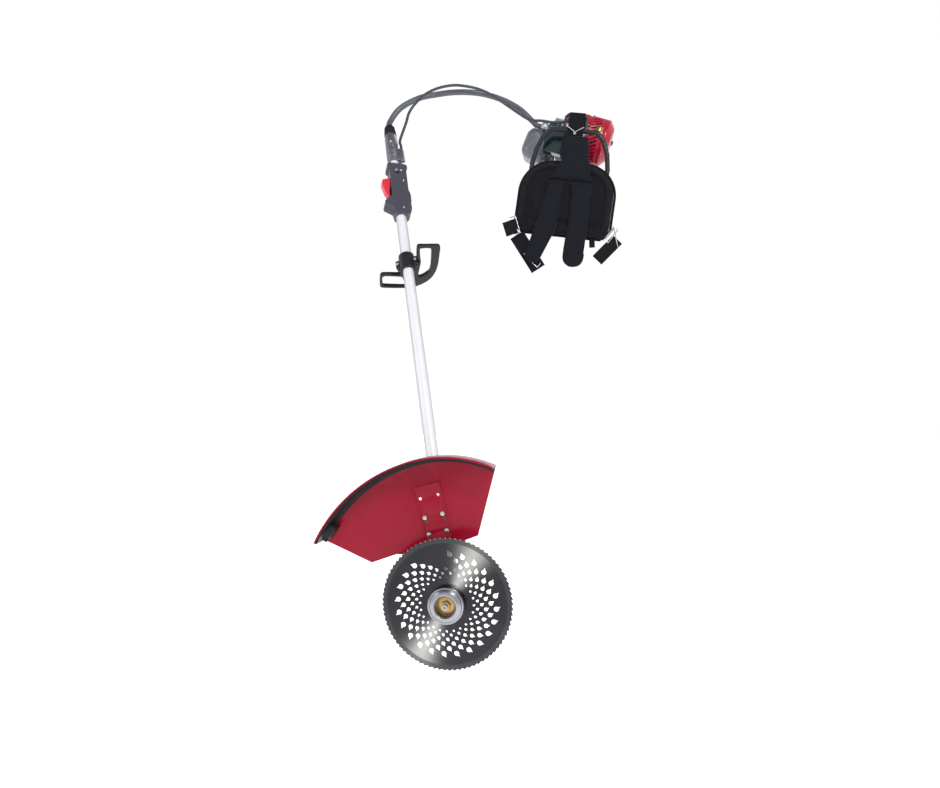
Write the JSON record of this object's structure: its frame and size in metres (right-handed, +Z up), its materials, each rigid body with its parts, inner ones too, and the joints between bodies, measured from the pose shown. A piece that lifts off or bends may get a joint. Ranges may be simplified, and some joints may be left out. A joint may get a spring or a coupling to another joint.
{
  "type": "brush cutter",
  "caption": "Backpack brush cutter: engine on a carrying frame drives a guarded saw blade through a flexible hose and a straight wand with throttle grip and loop handle.",
  "frame": {"origin": "middle of the raised top bar of the carrying frame, from which the machine hangs", "axes": "+Z up; -Y out of the saw blade's face, along its spindle; +X to the right seen from the blade's face"},
  "size_m": [0.6916, 1.0917, 1.4504],
  "materials": {
    "frame_paint": "satin black powder coat",
    "plate_paint": "black paint",
    "foot_rubber": "matte",
    "pad_fabric": "black foam pad with bound edge",
    "strap_fabric": "black padded mesh",
    "webbing": "black woven webbing",
    "wire_steel": "bright wire",
    "cast_alloy": "cast, bead blasted",
    "machined_steel": "turned",
    "ceramic": "glazed",
    "engine_red": "glossy moulded",
    "dark_gloss": "dark teal gloss",
    "muffler_steel": "heat resistant paint",
    "tank_plastic": "smoky translucent",
    "hose_rubber": "satin",
    "cable_rubber": "satin",
    "black_plastic": "fine moulded grain",
    "grip_plastic": "soft touch",
    "brass": "zinc yellow",
    "anodised": "satin anodised",
    "bearing_steel": "ground",
    "bronze": "sintered",
    "guard_red": "translucent red moulding",
    "skirt_rubber": "matte",
    "bracket_steel": "grey paint",
    "zinc": "bright zinc",
    "collar_grey": "dark grey casting",
    "red_plastic": "glossy",
    "blade_steel": "circular polish",
    "cup_steel": "turned and polished"
  },
  "bodies": {
    "pack": {"pack_frame": "frame_paint", "swivel_base": "frame_paint", "frame_feet": "foot_rubber", "back_pad": "pad_fabric", "harness_yoke": "strap_fabric", "left_shoulder_strap": "strap_fabric", "right_shoulder_strap": "strap_fabric", "top_webbing": "webbing", "lower_webbing": "webbing", "strap_hardware": "wire_steel"},
    "engine": {"engine_cradle": "plate_paint", "rubber_mounts": "foot_rubber", "crankcase": "cast_alloy", "crankshaft": "machined_steel", "connecting_rod": "machined_steel", "piston": "cast_alloy", "cylinder": "cast_alloy", "spark_plug": "ceramic", "top_cover": "engine_red", "flywheel": "cast_alloy", "fan_housing": "engine_red", "recoil_cover": "engine_red", "clutch_housing": "cast_alloy", "carburettor": "cast_alloy", "air_filter_cover": "dark_gloss", "muffler": "muffler_steel", "fuel_tank": "tank_plastic", "drive_hose": "hose_rubber", "throttle_cable": "cable_rubber"},
    "drum": {"clutch_drum": "machined_steel"},
    "reel": {"starter_reel": "black_plastic"},
    "starter": {"starter_handle": "black_plastic"},
    "tank_cap": {"fuel_cap": "black_plastic"},
    "choke": {"choke_lever": "black_plastic"},
    "throttle_arm": {"throttle_lever": "brass"},
    "wand": {"shaft_tube": "anodised", "gear_case": "cast_alloy", "spindle_bearings": "bearing_steel", "shaft_bushes": "bronze", "guard": "guard_red", "guard_skirt": "skirt_rubber", "guard_bracket": "bracket_steel", "guard_screws": "zinc", "loop_handle": "black_plastic", "handle_clamp": "black_plastic", "grip_left": "grip_plastic", "grip_right": "grip_plastic", "grip_pins": "zinc", "hose_collar": "collar_grey", "hose_boot": "foot_rubber"},
    "throttle_trigger": {"trigger": "red_plastic"},
    "lockout": {"lockout_lever": "black_plastic"},
    "switch": {"stop_switch": "black_plastic"},
    "cutter": {"output_spindle": "machined_steel", "bevel_gear": "machined_steel", "blade_holder": "machined_steel", "saw_blade": "blade_steel", "stabiliser_cup": "cup_steel", "blade_nut": "brass"},
    "drive": {"drive_unit": "machined_steel"}
  },
  "joints": [
    {"name": "engine_swivel", "type": "hinge", "parent": "pack", "child": "engine", "pos_m": [-0.0167, 0.132, -0.11883], "axis": [0.1392, 0, 0.9903], "range_deg": [-12, 12]},
    {"name": "hose_flex", "type": "hinge", "parent": "engine", "child": "wand", "pos_m": [-0.386, 0.016, 0.095], "axis": [1, 0, 0], "range_deg": [-12, 12], "deforming": ["drive_hose", "throttle_cable"]},
    {"name": "blade_spin", "type": "hinge", "parent": "wand", "child": "cutter", "pos_m": [-0.24, -0.803, -1.216], "axis": [0, 1, 0], "continuous": true},
    {"name": "shaft_spin", "type": "hinge", "parent": "wand", "child": "drive", "pos_m": [-0.24, -0.758, -1.216], "axis": [-0.2183, 0.5, 0.8381], "continuous": true},
    {"name": "drum_spin", "type": "hinge", "parent": "engine", "child": "drum", "pos_m": [-0.0025, 0.132, -0.01783], "axis": [-0.9511, 0, 0.309], "continuous": true},
    {"name": "trigger_pull", "type": "hinge", "parent": "wand", "child": "throttle_trigger", "pos_m": [-0.51605, -0.17566, -0.22494], "axis": [0.3747, -0.75, 0.5451], "range_deg": [0, 8], "stiffness_Nm_per_rad": 0.6, "springref_deg": -5.73},
    {"name": "lockout_press", "type": "hinge", "parent": "wand", "child": "lockout", "pos_m": [-0.47103, -0.17641, -0.25692], "axis": [-0.3747, 0.75, -0.5451], "range_deg": [0, 8], "stiffness_Nm_per_rad": 0.4, "springref_deg": -5.73},
    {"name": "switch_slide", "type": "slide", "parent": "wand", "child": "switch", "axis": [-0.2183, 0.5, 0.8381], "range_m": [0, 0.008]},
    {"name": "throttle_turn", "type": "hinge", "parent": "engine", "child": "throttle_arm", "pos_m": [-0.00003, 0.072, -0.01022], "axis": [0.309, 0, 0.9511], "range_deg": [0, 45]},
    {"name": "choke_turn", "type": "hinge", "parent": "engine", "child": "choke", "pos_m": [-0.05186, 0.06, -0.0144], "axis": [0.309, 0, 0.9511], "range_deg": [0, 60]},
    {"name": "cap_turn", "type": "hinge", "parent": "engine", "child": "tank_cap", "pos_m": [-0.12181, 0.1881, -0.04846], "axis": [0, 1, 0], "range_deg": [0, 120]},
    {"name": "starter_pull", "type": "slide", "parent": "engine", "child": "starter", "axis": [0, 1, 0], "range_m": [0, 0.09], "stiffness_N_per_m": 40, "springref_m": -0.1},
    {"name": "reel_spin", "type": "hinge", "parent": "engine", "child": "reel", "pos_m": [-0.0025, 0.132, -0.01783], "axis": [0.9511, 0, -0.309], "range_deg": [-160, 0]}
  ],
  "couplings": [
    {"joint": "shaft_spin", "follows": "blade_spin", "ratio": -1.3333},
    {"joint": "drum_spin", "follows": "blade_spin", "ratio": 1.3333},
    {"joint": "throttle_turn", "follows": "trigger_pull", "ratio": 5},
    {"joint": "reel_spin", "follows": "starter_pull", "rad_per_m": -30.3}
  ]
}
